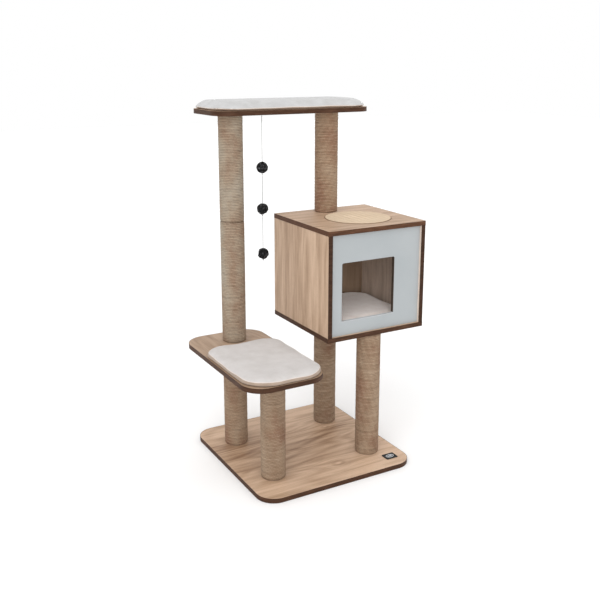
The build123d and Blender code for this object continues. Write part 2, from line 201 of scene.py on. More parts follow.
class Finish:
    """One material being built: a principled shader and short ways to add the nodes that feed it."""

    def __init__(self, name, **shader):
        self.material = bpy.data.materials.new(name)
        self.material.use_nodes = True
        self.tree = self.material.node_tree
        self.shader = self.tree.nodes["Principled BSDF"]
        for socket, value in shader.items():
            self.shader.inputs[socket.replace("_", " ").title().replace("Ior", "IOR")].default_value = value
        self.place = self.add("TexCoord").outputs["Object"]

    def add(self, kind, inputs=None, **settings):
        node = self.tree.nodes.new("ShaderNode" + kind)
        for name, value in settings.items():
            setattr(node, name, value)
        for socket, value in (inputs or {}).items():
            self.feed(node.inputs[socket], value)
        return node

    def feed(self, socket, value):
        if isinstance(value, bpy.types.NodeSocket):
            self.tree.links.new(value, socket)
        else:
            socket.default_value = value

    def scaled(self, scale, offset=(0, 0, 0), source=None):
        inputs = {"Vector": source or self.place, "Scale": scale, "Location": offset}
        return self.add("Mapping", inputs).outputs[0]

    def noise(self, vector, scale=1.0, detail=3.0, roughness=0.5, distortion=0.0):
        inputs = {"Vector": vector, "Scale": scale, "Detail": detail}
        inputs.update({"Roughness": roughness, "Distortion": distortion})
        return self.add("TexNoise", inputs).outputs["Fac"]

    def math(self, operation, first, second=0.0, clamp=False):
        return self.add("Math", {0: first, 1: second}, operation=operation, use_clamp=clamp).outputs[0]

    def span(self, value, low, high, new_low=0.0, new_high=1.0):
        inputs = {"Value": value, "From Min": low, "From Max": high, "To Min": new_low, "To Max": new_high}
        return self.add("MapRange", inputs).outputs["Result"]

    def ramp(self, value, *stops):
        node = self.add("ValToRGB", {"Fac": value})
        while len(node.color_ramp.elements) < len(stops):
            node.color_ramp.elements.new(0.5)
        for element, (position, shade) in zip(node.color_ramp.elements, stops):
            element.position = position
            element.color = shade
        return node.outputs["Color"]

    def mix(self, share, first, second, blend="MIX"):
        node = self.add("Mix", data_type="RGBA", blend_type=blend)
        factor, base, other = node.inputs[0], node.inputs[6], node.inputs[7]
        for socket, value in ((factor, share), (base, first), (other, second)):
            self.feed(socket, value)
        return node.outputs[2]

    def weighed(self, *terms):
        """The sum of each value times its weight."""
        total = 0.0
        for value, weight in terms:
            total = self.math("ADD", total, self.math("MULTIPLY", value, weight))
        return total

    def spot(self, along, across, centre, side, half_length, half_width, slope=0.0):
        """A soft-edged oval: 1 at its centre, falling to 0 round it."""
        ahead = self.math("SUBTRACT", along, centre)
        aside = self.math("SUBTRACT", across, side)
        beside = self.math("SUBTRACT", aside, self.math("MULTIPLY", ahead, slope))
        long_way = self.math("POWER", self.math("ABSOLUTE", self.math("DIVIDE", ahead, half_length)), 2.0)
        short_way = self.math("POWER", self.math("ABSOLUTE", self.math("DIVIDE", beside, half_width)), 2.0)
        return self.math("EXPONENT", self.math("MULTIPLY", self.math("ADD", long_way, short_way), -1.0))

    def finish(self, base, roughness, height=None, depth=0.0002, strength=0.6):
        self.feed(self.shader.inputs["Base Color"], base)
        self.feed(self.shader.inputs["Roughness"], roughness)
        if height is not None:
            inputs = {"Height": height, "Distance": depth, "Strength": strength}
            self.feed(self.shader.inputs["Normal"], self.add("Bump", inputs).outputs["Normal"])
        return self.material


FIGURE_MEAN = 0.61
RAMP_MIDDLE = 0.51
OAK_TONES = [(0.26, 132, 103, 80), (0.40, 164, 136, 111), (0.50, 180, 152, 127), (0.64, 198, 170, 145)]
GRAIN_ORDER = {"X": ("X", "Y", "Z"), "Y": ("Y", "X", "Z"), "Z": ("Z", "X", "Y")}


def oak(name, grain, seed, light=1.0, contrast=1.0, inside=None, smears=(), knots=()):
    """Oak-print laminate whose grain runs along one axis of the object.

    inside is the axis across a board, where its inner side ends, and that side's saturation and value
    factors: painted light and painted shade on a wall's inner face inside the house.
    A smear is a dark heart streak, or on the base a broad patch of painted shade or painted light: (along,
    across, half length, half width, slope, strength).
    A knot is (along, across, radius).
    """
    f = Finish(name, specular_ior_level=0.3)
    parts = f.add("SeparateXYZ", {0: f.place}).outputs
    along, across, through = (parts[axis] for axis in GRAIN_ORDER[grain])
    # Heart streaks, and on the base broad patches of painted shade and painted light.
    heart_streaks_and_painted_shade = 0.0
    for centre, side, half_length, half_width, slope, strength in smears:
        spot = f.spot(along, across, centre, side, half_length, half_width, slope)
        heart_streaks_and_painted_shade = f.math("ADD", heart_streaks_and_painted_shade, f.math("MULTIPLY", spot, strength))
    bent, dark_knot = across, 0.0
    for centre, side, radius in knots:
        swirl = f.spot(along, across, centre, side, radius * 3.2, radius * 2.0)
        from_knot = f.math("SUBTRACT", across, side)
        bent = f.math("SUBTRACT", bent, f.math("MULTIPLY", f.math("MULTIPLY", from_knot, swirl), 0.75))
        rim = f.spot(along, across, centre, side, radius * 1.25, radius * 0.75)
        heart = f.spot(along, across, centre, side, radius * 0.8, radius * 0.45)
        dark_knot = f.math("ADD", dark_knot, f.math("SUBTRACT", rim, f.math("MULTIPLY", heart, 1.5)))
    plank = f.add("CombineXYZ", {0: along, 1: bent, 2: through}).outputs[0]
    shift = (seed * 1.37, seed * 2.11, seed * 0.73)
    wander = f.noise(f.scaled((1.1, 5.5, 5.5), shift, plank), detail=2.5, roughness=0.5)
    flow = f.math("ADD", f.math("MULTIPLY", wander, 15.0), f.math("MULTIPLY", bent, 16.0))
    rings = f.span(f.math("SINE", f.math("MULTIPLY", flow, 2 * math.pi)), -1.0, 1.0)
    streaks = f.noise(f.scaled((2.6, 42, 42), shift, plank), detail=6, roughness=0.66, distortion=0.12)
    fine = f.noise(f.scaled((6, 170, 170), shift, plank), detail=4, roughness=0.6)
    fibres = f.noise(f.scaled((14, 620, 620), shift, plank), detail=3, roughness=0.6)
    pores = f.noise(f.scaled((55, 1700, 1700), shift, plank), detail=1.5)
    tone = f.noise(f.scaled((1.6, 3.6, 3.6), shift, plank), detail=2)
    figure = f.weighed(
        (rings, 0.08), (streaks, 0.50), (fine, 0.22), (fibres, 0.14), (tone, 0.30),
        (heart_streaks_and_painted_shade, -1.0), (dark_knot, -0.3),
    )
    swing = f.math("MULTIPLY", f.math("SUBTRACT", figure, FIGURE_MEAN), contrast)
    # light scales every oak colour: painted light, each board a lighter or darker copy of the same oak for
    # how light falls on it.
    wood = f.ramp(f.math("ADD", swing, RAMP_MIDDLE), *tinted(OAK_TONES, light))
    # The inner face's saturation and value are painted light and shade inside the house, on the same oak.
    if inside:
        axis, end, saturation, value = inside
        outside = f.span(parts[axis], end, end + MM)
        inputs = {"Color": wood}
        inputs["Saturation"] = f.span(outside, 0, 1, saturation, 1.0)
        inputs["Value"] = f.span(outside, 0, 1, value, 1.0)
        wood = f.add("HueSaturation", inputs).outputs[0]
    open_pores = f.span(pores, 0.34, 0.42, 0.82, 1.0)
    wood = f.mix(1.0, wood, f.ramp(open_pores, (0.0, (0, 0, 0, 1)), (1.0, (1, 1, 1, 1))), "MULTIPLY")
    rough = f.span(fibres, 0.3, 0.7, 0.46, 0.60)
    relief = f.math("ADD", f.math("MULTIPLY", fibres, 0.5), open_pores)
    return f.finish(wood, rough, relief, depth=0.00012, strength=0.5)


def dark_edging(name, light):
    f = Finish(name, specular_ior_level=0.1)
    streaks = f.noise(f.scaled((18, 18, 160)), detail=4, roughness=0.6)
    specks = f.noise(f.place, 900, 2)
    base = f.ramp(streaks, *tinted([(0.3, 46, 29, 19), (0.55, 66, 43, 30), (0.75, 86, 60, 44)], light))
    base = f.mix(f.span(specks, 0.4, 0.7, 0.0, 0.3), base, colour(96 * light, 70 * light, 53 * light))
    return f.finish(base, f.span(specks, 0.3, 0.7, 0.40, 0.56), streaks, depth=0.0001)


def grey_panel():
    f = Finish("grey_panel", specular_ior_level=0.4)
    cloud = f.noise(f.place, 6, 3)
    peel = f.noise(f.place, 1400, 2)
    dust = f.noise(f.place, 260, 4, 0.7)
    base = f.ramp(cloud, (0.3, colour(151, 156, 158)), (0.7, colour(158, 162, 164)))
    base = f.mix(f.span(dust, 0.55, 0.8, 0.0, 0.25), base, colour(150, 155, 157))
    return f.finish(base, f.span(cloud, 0.3, 0.7, 0.42, 0.52), peel, depth=0.00005, strength=0.35)


def doorway_band(sill_top):
    """Dark edging on the jambs and the head, and along the sill a grey paler than the panel's: painted light
    on the shaded sill.
    """
    f = Finish("doorway_edging", specular_ior_level=0.25)
    height = f.add("SeparateXYZ", {0: f.place}).outputs["Z"]
    streaks = f.noise(f.scaled((60, 60, 60)), detail=4, roughness=0.6)
    dark = f.ramp(streaks, (0.3, colour(52, 42, 36)), (0.7, colour(78, 65, 56)))
    # Painted light: the sill's paler colour stands in for light on the sill, which lies in shade.
    grey = f.ramp(streaks, (0.3, colour(196, 200, 202)), (0.7, colour(203, 206, 208)))
    base = f.mix(f.span(height, sill_top, sill_top + 0.6 * MM), grey, dark)
    return f.finish(base, f.span(streaks, 0.3, 0.7, 0.42, 0.56), streaks, depth=0.0001)


def rope(name, tones, light):
    """Twisted seagrass paper in broad tones. The attribute that it reads says how pale each bit of rope is:
    the rope's own tone, with painted shade in the creases and at the ends, and painted light on the strands'
    crowns.
    """
    f = Finish(name, specular_ior_level=0.2)
    winding = f.add("Attribute", attribute_name="winding").outputs["Fac"]
    blotch = f.noise(f.scaled((12, 12, 8)), detail=5, roughness=0.62)
    strand = f.noise(f.scaled((120, 120, 700)), detail=4, roughness=0.65)
    fibres = f.noise(f.scaled((420, 420, 2600)), detail=3, roughness=0.6)
    base = f.ramp(blotch, *tinted(tones, light))
    # Paler where the attribute is high, darker where it is low: the rope's own tone, with painted light on
    # the crowns and painted shade in the creases and at the ends.
    base = f.mix(f.span(winding, 0.5, 1.0, 0.0, 0.6), base, colour(188, 170, 147))
    base = f.mix(f.span(winding, 0.0, 0.45, 0.85, 0.0), base, colour(66, 48, 36))
    base = f.mix(f.span(strand, 0.34, 0.56, 0.34, 0.0), base, colour(98, 76, 59))
    base = f.mix(f.span(fibres, 0.55, 0.8, 0.0, 0.4), base, colour(204, 190, 168))
    relief = f.math("ADD", strand, f.math("MULTIPLY", fibres, 0.6))
    return f.finish(base, f.span(fibres, 0.3, 0.7, 0.7, 0.9), relief, depth=0.0006, strength=0.8)


def woven_pad():
    f = Finish("woven_pad", specular_ior_level=0.2)
    depth = f.add("Attribute", attribute_name="winding").outputs["Fac"]
    strand = f.noise(f.place, 420, 4, 0.65)
    cloud = f.noise(f.place, 22, 3)
    # The attribute is the cord's height: lower cord is painted darker, painted shade in the grooves.
    base = f.ramp(depth, *tinted([(0.0, 176, 152, 126), (0.4, 214, 194, 168), (1.0, 230, 212, 188)], 1))
    base = f.mix(f.span(cloud, 0.35, 0.65, 0.0, 0.35), base, colour(206, 184, 156))
    base = f.mix(f.span(strand, 0.35, 0.7, 0.3, 0.0), base, colour(182, 156, 128))
    # Below zero, at the disc's edge: a painted shadow in dark brown.
    base = f.mix(f.span(depth, -1.0, -0.5, 0.85, 0.0), base, colour(96, 74, 56))
    return f.finish(base, f.span(strand, 0.3, 0.7, 0.75, 0.92), strand, depth=0.0004)


def plush(name, pale, shade, sheen):
    """Short-pile fabric: tiny tufts, a little mottled where the pile leans."""
    f = Finish(name, sheen_weight=sheen, sheen_roughness=0.5, specular_ior_level=0.15)
    lean = f.noise(f.place, 26, 4, 0.6)
    tufts = f.add("TexVoronoi", {"Vector": f.place, "Scale": 520.0}).outputs["Distance"]
    nap = f.noise(f.place, 1500, 3, 0.7)
    mottle = f.math("ADD", f.math("MULTIPLY", lean, 0.75), f.math("MULTIPLY", nap, 0.25))
    base = f.ramp(mottle, (0.32, shade), (0.62, pale))
    relief = f.math("ADD", f.math("MULTIPLY", nap, 0.8), f.math("SUBTRACT", 1.0, tufts))
    return f.finish(base, f.span(lean, 0.3, 0.7, 0.85, 0.98), relief, depth=0.0009, strength=0.7)


def woven_cotton(name, pale, shade):
    """Woven threads: level ones 0.8 mm apart, crossed by slanting ones 2.2 mm apart along the wall."""
    f = Finish(name, sheen_weight=0.2, specular_ior_level=0.15)
    level = {"Vector": f.place, "Scale": 400.0, "Distortion": 0.6}
    slanting = {"Vector": f.place, "Scale": 290.0, "Distortion": 0.6}
    weft = f.add("TexWave", level, bands_direction="Z").outputs["Fac"]
    warp = f.add("TexWave", slanting, bands_direction="DIAGONAL").outputs["Fac"]
    weave = f.math("MULTIPLY", weft, warp)
    cloud = f.noise(f.place, 30, 4, 0.6)
    slubs = f.noise(f.scaled((120, 120, 900)), detail=3)
    mottle = f.math("ADD", f.math("MULTIPLY", weave, 0.4), f.math("MULTIPLY", cloud, 0.6))
    base = f.ramp(mottle, (0.2, shade), (0.6, pale))
    base = f.mix(f.span(slubs, 0.5, 0.75, 0.0, 0.3), base, shade)
    return f.finish(base, f.span(cloud, 0.3, 0.7, 0.8, 0.95), weave, depth=0.0005)


def spun(name, pale, shade, rough=(0.6, 0.85), scale=700, **shader):
    """Small fibrous, cast or turned stock: two tones with fine and broad noise."""
    f = Finish(name, **shader)
    fine = f.noise(f.place, scale, 4, 0.6)
    broad = f.noise(f.place, scale / 20, 3)
    mottle = f.math("ADD", f.math("MULTIPLY", fine, 0.5), f.math("MULTIPLY", broad, 0.5))
    base = f.ramp(mottle, (0.35, shade), (0.65, pale))
    return f.finish(base, f.span(fine, 0.3, 0.7, *rough), fine, depth=0.00015)


def toy_weave():
    """Black strands with painted highlights: pale flecks in the colour where they would shine."""
    f = Finish("toy_weave", specular_ior_level=0.15)
    painted_glint = f.noise(f.place, 170, 3, 0.6)
    fine = f.noise(f.place, 900, 3)
    # Painted highlights: pale flecks in the base colour where the strands would catch the light.
    base = f.ramp(painted_glint, (0.52, colour(5, 5, 6)), (0.70, colour(92, 92, 95)))
    return f.finish(base, f.span(fine, 0.3, 0.7, 0.3, 0.5), fine, depth=0.00015)


def brushed_metal(name, pale, shade):
    f = Finish(name, metallic=1.0)
    lines = f.noise(f.scaled((60, 60, 2400)), detail=3)
    stain = f.noise(f.place, 90, 3)
    base = f.ramp(stain, (0.3, shade), (0.7, pale))
    return f.finish(base, f.span(lines, 0.3, 0.7, 0.24, 0.42), lines, depth=0.00005)


DARK_EDGING = dark_edging("dark_edging", 1.0)
GREY_PANEL = grey_panel()
WOVEN_PAD = woven_pad()
COTTON = woven_cotton("cushion_cotton", colour(172, 154, 139), colour(144, 126, 111))
PIPING = woven_cotton("cushion_piping", colour(220, 212, 206), colour(200, 190, 182))
CARDBOARD = spun("cardboard", colour(188, 156, 118), colour(150, 120, 88), scale=500)
CAP_PLASTIC = spun("cap_plastic", colour(40, 40, 42), colour(26, 26, 28), (0.38, 0.5), 1200)
STEEL = brushed_metal("steel", colour(198, 198, 200), colour(160, 160, 164))
CAM_METAL = brushed_metal("cam_metal", colour(176, 174, 172), colour(128, 126, 126))
DOWEL_WOOD = spun("dowel_wood", colour(224, 196, 152), colour(196, 164, 118), scale=400)
HOOK_TAPE = spun("hook_tape", colour(46, 46, 48), colour(24, 24, 26), (0.8, 0.95), 1600)
LOOP_TAPE = spun("loop_tape", colour(58, 58, 60), colour(34, 34, 36), (0.85, 0.98), 1000, sheen_weight=0.3)
PLATE_BLACK = spun(
    "plate_black", colour(24, 25, 27), colour(12, 13, 15), (0.4, 0.55), 1500, specular_ior_level=0.2,
)
SILVER = spun("plate_silver", colour(226, 228, 230), colour(204, 206, 209), (0.3, 0.4), 1500)
TOY_STRING = spun("toy_string", colour(98, 96, 93), colour(76, 74, 72), (0.7, 0.9), 1800)
TOY_WEAVE = toy_weave()

# ---------------------------------------------------------------- CAD nodes that keep their own shape


def paint(material, *names):
    for name in names:
        obj = NODES[name]
        obj.data.materials.clear()
        obj.data.materials.append(material)


BASE_SMEARS_AND_PAINTED_SHADE = [
    (0.080, 0.018, 0.14, 0.010, 0.30, 0.11),
    (0.075, 0.045, 0.10, 0.007, 0.33, 0.09),
    (0.170, 0.062, 0.09, 0.012, 0.35, 0.09),
    (-0.050, -0.060, 0.16, 0.008, 0.22, 0.07),
    (-0.100, -0.030, 0.10, 0.010, 0.16, 0.05),
    (-0.235, 0.012, 0.06, 0.014, 0.10, 0.08),
    (-0.180, -0.070, 0.09, 0.008, 0.15, 0.07),
    # Broad patches of painted light: painted shade at the left under the middle shelf, paler at the front
    # right and in the middle.
    (-0.200, 0.020, 0.17, 0.180, 0.0, 0.10),
    (0.180, -0.200, 0.16, 0.080, 0.0, -0.07),
    (0.060, 0.040, 0.14, 0.120, 0.0, -0.03),
]
BASE_KNOTS = [(0.046, -0.174, 0.016), (0.150, 0.085, 0.010)]
WALL_SMEARS = [
    (0.750, -0.106, 0.06, 0.003, 0.0, 0.16),
    (0.560, 0.050, 0.16, 0.010, 0.02, 0.06),
    (0.600, 0.120, 0.20, 0.012, 0.0, 0.05),
    (0.640, -0.060, 0.12, 0.008, 0.03, 0.05),
]
WALL_KNOTS = [(0.628, -0.128, 0.010), (0.480, -0.020, 0.007)]
ROOF_SMEARS = [(0.06, -0.02, 0.20, 0.014, 0.05, 0.08), (0.25, -0.150, 0.12, 0.010, 0.0, 0.07)]
# Inside the house: the right wall's inner face painted paler and greyer (painted light), the back wall's
# painted darker (painted shade).
RIGHT_WALL_INSIDE_LIGHT = ("X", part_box("house_right_wall")[0].x + 5 * MM, 0.58, 1.36)
BACK_WALL_INSIDE_SHADE = ("Y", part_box("house_back_wall")[0].y + 5 * MM, 1.0, 0.60)
# Each board's light is painted light: a brightness factor for how light falls on that board.
BOARDS = {
    "base_board": {
        "grain": "X", "seed": 3, "light": 1.05, "contrast": 1.35, "smears": BASE_SMEARS_AND_PAINTED_SHADE, "knots": BASE_KNOTS,
    },
    "middle_shelf": {"grain": "Y", "seed": 7, "light": 0.915, "contrast": 1.2},
    "top_shelf": {"grain": "X", "seed": 11, "light": 1.0},
    "house_floor": {"grain": "X", "seed": 15, "light": 1.0},
    "house_roof": {"grain": "X", "seed": 19, "light": 1.0, "contrast": 1.3, "smears": ROOF_SMEARS},
    "house_left_wall": {
        "grain": "Z", "seed": 23, "light": 0.98, "contrast": 1.25, "smears": WALL_SMEARS, "knots": WALL_KNOTS,
    },
    "house_right_wall": {"grain": "Z", "seed": 27, "light": 1.0, "inside": RIGHT_WALL_INSIDE_LIGHT},
    "house_back_wall": {"grain": "Z", "seed": 31, "light": 1.0, "inside": BACK_WALL_INSIDE_SHADE},
}
for board, look in BOARDS.items():
    paint(oak("oak_" + board, **look), board)
LEFT_WALL_OAK = NODES["house_left_wall"].data.materials[0]
RIGHT_WALL_OAK = NODES["house_right_wall"].data.materials[0]

paint(DARK_EDGING, *[name for name in NODES if "edge_band" in name])
# Painted light: the roof's edging is a lighter copy and the walls' a darker copy of the one dark edging, for
# how light falls on them.
paint(dark_edging("roof_edging_painted_light", 1.2), "house_roof_edge_band")
paint(dark_edging("wall_edging_painted_shade", 0.86), "side_wall_edge_bands")
paint(GREY_PANEL, "house_front_panel")
paint(doorway_band(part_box("doorway_edge_band")[0].z + 2.5 * MM), "doorway_edge_band")
paint(CARDBOARD, *[name for name in NODES if name.startswith("post_tube")])
paint(CAP_PLASTIC, "post_end_caps")
paint(STEEL, "threaded_inserts", "post_bolts", "bolt_washers", "joining_studs", "cam_bolts")
paint(CAM_METAL, "cam_locks")
paint(DOWEL_WOOD, "house_dowels")
paint(HOOK_TAPE, "shelf_hook_patches")
paint(LOOP_TAPE, "top_cushion_loop_patches", "middle_cushion_loop_patches")
paint(PLATE_BLACK, "name_plate")
paint(TOY_STRING, "toy_anchor_knot")

# ---------------------------------------------------------------- hanging toy

STRING_DIAMETER = 1.6 * MM
KNOT_TURN = 0.47 * MM
BALL_STRAND = 1.9 * MM
BALL_TURNS = 13
TOY_PARTS = {"upper": 0.1806, "middle": 0.1303, "lower": 0.1443}
toy_low, toy_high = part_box("toy_string_upper")
TOY_X = (toy_low.x + toy_high.x) / 2
TOY_Y = (toy_low.y + toy_high.y) / 2


def small_knot(name, body, node):
    """A trefoil turn of the string, as large as the CAD knot."""
    low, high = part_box(node)
    middle = (low + high) / 2
    t = np.linspace(0, 2 * math.pi, 72, endpoint=False)
    turn = np.stack([np.sin(t) + 2 * np.sin(2 * t), np.cos(t) - 2 * np.cos(2 * t), -1.3 * np.sin(3 * t)], 1)
    vertices, faces = tube(turn * KNOT_TURN + np.array(middle), STRING_DIAMETER / 2, 10, closed=True)
    return fit_out(mesh_object(name, vertices, faces), body, [TOY_STRING], [node])


def woven_ball(name, body, node):
    """A ball wound from glossy black strands, each one a slightly wandering great circle."""
    low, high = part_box(node)
    middle = np.array((low + high) / 2)
    radius = (high.x - low.x) / 2
    source = random_source(name)
    parts = []
    t = np.linspace(0, 2 * math.pi, 96, endpoint=False)
    for _ in range(BALL_TURNS):
        axis = Vector((source.gauss(0, 1), source.gauss(0, 1), source.gauss(0, 1))).normalized()
        first = axis.orthogonal().normalized()
        second = axis.cross(first)
        height = radius - BALL_STRAND * 1.9 + 0.8 * MM * np.sin(3 * t + source.uniform(0, 6.28))
        wander = source.uniform(-0.35, 0.35) * radius + 0.9 * MM * np.sin(2 * t + source.uniform(0, 6.28))
        flat = np.sqrt(np.maximum(height**2 - wander**2, 0))
        points = np.outer(flat * np.cos(t), first) + np.outer(flat * np.sin(t), second)
        points += np.outer(wander, axis) + middle
        parts.append(tube(points, BALL_STRAND, 8, closed=True, swell=1 + 0.12 * np.sin(t * 24)))
    core = bmesh.new()
    bmesh.ops.create_icosphere(core, subdivisions=4, radius=radius - BALL_STRAND * 2.2)
    core_vertices = np.array([v.co for v in core.verts]) + middle
    parts.append((core_vertices, [tuple(v.index for v in face.verts) for face in core.faces]))
    core.free()
    vertices, faces = joined(parts)
    return fit_out(mesh_object(name, vertices, faces), body, [TOY_WEAVE], [node])


def toy_string(part):
    node = "toy_string_" + part
    low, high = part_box(node)
    curve = bpy.data.curves.new("string_" + part, "CURVE")
    curve.dimensions = "3D"
    curve.bevel_depth = STRING_DIAMETER / 2
    curve.bevel_resolution = 3
    curve.use_fill_caps = True
    spline = curve.splines.new("NURBS")
    heights = [high.z + (low.z - high.z) * share for share in (0, 0.3, 0.7, 1)]
    spline.points.add(len(heights) - 1)
    for point, z in zip(spline.points, heights):
        point.co = (TOY_X, TOY_Y, z, 1)
    spline.order_u = 3
    spline.use_endpoint_u = True
    string = bpy.data.objects.new("string_" + part, curve)
    bpy.context.scene.collection.objects.link(string)
    fit_out(string, f"toy_{part}_part", [TOY_STRING], [node])


small_knot("knot_top", "toy_hanger", "toy_top_knot")
for part in TOY_PARTS:
    ball = woven_ball("ball_" + part, f"toy_{part}_part", "toy_ball_" + part)
    knot = small_knot("knot_" + part, f"toy_{part}_part", f"toy_{part}_knot")
    toy_string(part)

# ---------------------------------------------------------------- rope-wound posts

ROPE_PITCH = 5.2 * MM
ROPE_COLUMNS = 160
ROPE_ACROSS = (-0.5, -0.40, -0.21, 0.0, 0.21, 0.40)
ROPE_LAY = 7.5 * MM
ROPE_DRIFT = 0.35 * MM
ROPE_TWIST = 0.20 * MM
ROPE_UNEVEN = 0.22 * MM
ROPE_END_DROP = 2.2 * MM
ROPE_END_REACH = 1.6 * MM
ROPE_END_SHADE = 2.5 * MM
SLEEVE_WALL = 0.4 * MM
# Painted light: two posts get a greyer rope and three a brightness factor of their own, for how light falls
# on each post.
WARM_ROPE = [(0.36, 152, 131, 110), (0.50, 143, 119, 97), (0.64, 130, 99, 79)]
PAINTED_LIGHT_GREY_ROPE = [(0.36, 158, 148, 133), (0.50, 153, 138, 120), (0.64, 140, 117, 98)]
GREY_POSTS = ("rear_left_middle", "rear_left_upper")
ROPE_PAINTED_LIGHT = {"front_left": 0.97, "rear_right_upper": 1.05, "rear_right_lower": 0.94}


def rope_wrap(post):
    """A closed sleeve whose outside is one rope wound round the post, each turn against the last."""
    node = "rope_wrap_" + post
    low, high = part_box(node)
    centre = ((low.x + high.x) / 2, (low.y + high.y) / 2)
    outer = (high.x - low.x) / 2
    tube_low, tube_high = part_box("post_tube_" + post)
    inner = (tube_high.x - tube_low.x) / 2 + SLEEVE_WALL
    across_rows = len(ROPE_ACROSS)
    turns = math.ceil((high.z - low.z) / ROPE_PITCH) + 3
    rows = turns * across_rows

    row, column = np.meshgrid(np.arange(rows), np.arange(ROPE_COLUMNS), indexing="ij")
    offset = np.array(ROPE_ACROSS)[row % across_rows]
    travelled = row // across_rows - 2 + column / ROPE_COLUMNS
    core = outer - ROPE_PITCH / 2
    length = travelled * 2 * math.pi * core
    angle = column * (2 * math.pi / ROPE_COLUMNS)
    drift = ROPE_DRIFT * ripple(length, (0.11, 0.19, 0.43), post, "drift")
    z = low.z + ROPE_PITCH * (travelled + offset + 0.5) + drift
    half = ROPE_PITCH / 2
    lean = np.arcsin(np.clip(offset * 1.96, -1, 1))
    radius = core + half * np.maximum(np.cos(lean), 0.12)
    twist = np.cos(3 * lean + length * (2 * math.pi / ROPE_LAY))
    radius += ROPE_TWIST * twist * np.cos(lean)
    radius += ROPE_UNEVEN * ripple(length, (0.013, 0.034, 0.071, 0.23), post, "thickness")
    from_end = np.maximum(np.minimum(z - low.z, high.z - z), 0)
    radius -= ROPE_END_DROP * np.exp(-from_end / ROPE_END_REACH)
    # The tone: the rope's own pale and dark stretches, with painted light on each strand's crown and the
    # twist's ridges, and painted shade in the crease between turns and where the rope meets a board.
    tone = 0.42 + 0.10 * ripple(length, (0.021, 0.06, 0.15, 0.9), post, "tone")
    tone += 0.12 * np.cos(lean) + 0.10 * twist
    tone += 0.05 * ripple(travelled, (1.3, 2.9, 6.7), post, "turns")
    tone -= 0.45 * (np.abs(offset) > 0.45) + 0.5 * np.exp(-from_end / ROPE_END_SHADE)

    ring = np.arange(ROPE_COLUMNS) * (2 * math.pi / ROPE_COLUMNS)
    inside = (z > low.z + 0.05 * MM) & (z < high.z - 0.05 * MM)
    below = z <= low.z + 0.05 * MM
    index = np.empty(z.shape, int)
    index[inside] = np.arange(inside.sum()) + 4 * ROPE_COLUMNS
    index[below] = column[below]
    index[~inside & ~below] = column[~inside & ~below] + ROPE_COLUMNS

    def circle(reach, height):
        level = np.full(ROPE_COLUMNS, height)
        return np.stack([centre[0] + reach * np.cos(ring), centre[1] + reach * np.sin(ring), level], 1)

    end_radius = core - 0.6 * MM
    wound = np.stack([centre[0] + radius * np.cos(angle), centre[1] + radius * np.sin(angle), z], 2)[inside]
    ends = [circle(reach, height) for reach in (end_radius, inner) for height in (low.z, high.z)]
    vertices = np.concatenate([*ends, wound])
    seam = np.full((rows, 1), ROPE_COLUMNS)
    seam[:-across_rows, 0] = index[across_rows:, 0]
    grid = np.concatenate([index, seam], 1)
    quads = np.stack([grid[:-1, :-1], grid[:-1, 1:], grid[1:, 1:], grid[1:, :-1]], 2).reshape(-1, 4)
    faces = []
    for quad in quads.tolist():
        face = [v for k, v in enumerate(quad) if v != quad[k - 1]]
        if len(set(face)) == len(face) and len(face) > 2:
            faces.append(face)
    for k in range(ROPE_COLUMNS):
        j = (k + 1) % ROPE_COLUMNS
        bottom, top, bottom_in, top_in = 0, ROPE_COLUMNS, 2 * ROPE_COLUMNS, 3 * ROPE_COLUMNS
        faces.append((bottom + j, bottom + k, bottom_in + k, bottom_in + j))
        faces.append((top + k, top + j, top_in + j, top_in + k))
        faces.append((bottom_in + j, bottom_in + k, top_in + k, top_in + j))
    wrap = mesh_object("rope_" + post, vertices, faces)
    shade = wrap.data.attributes.new("winding", "FLOAT", "POINT")
    tones = np.full(len(vertices), 0.1)
    tones[4 * ROPE_COLUMNS:] = np.clip(tone[inside], 0, 1)
    shade.data.foreach_set("value", tones.astype(np.float32))
    # Painted light: a greyer rope and a brightness factor for some posts.
    tones = PAINTED_LIGHT_GREY_ROPE if post in GREY_POSTS else WARM_ROPE
    material = rope("rope_" + post, tones, ROPE_PAINTED_LIGHT.get(post, 1.0))
    return fit_out(wrap, "stand", [material], [node])


for node in sorted(NODES):
    if node.startswith("rope_wrap_"):
        rope_wrap(node.removeprefix("rope_wrap_"))

# ---------------------------------------------------------------- scratch disc

PAD_STEP = 0.9 * MM
PAD_STRIPE = 11 * MM
PAD_RIB = 3.6 * MM
PAD_RELIEF = 0.8 * MM
PAD_RIM = 3.5 * MM
PAD_SHADOW_EDGE = 1.4 * MM
PAD_GAP = 1.0 * MM
PAD_GROOVE = 0.9 * MM
PAD_RIM_RADIAN = 3.2 * MM  # the binding's wave moves on by one radian in this length
PAD_RIM_DROP = 1.2 * MM
PAD_SPOKES = 420


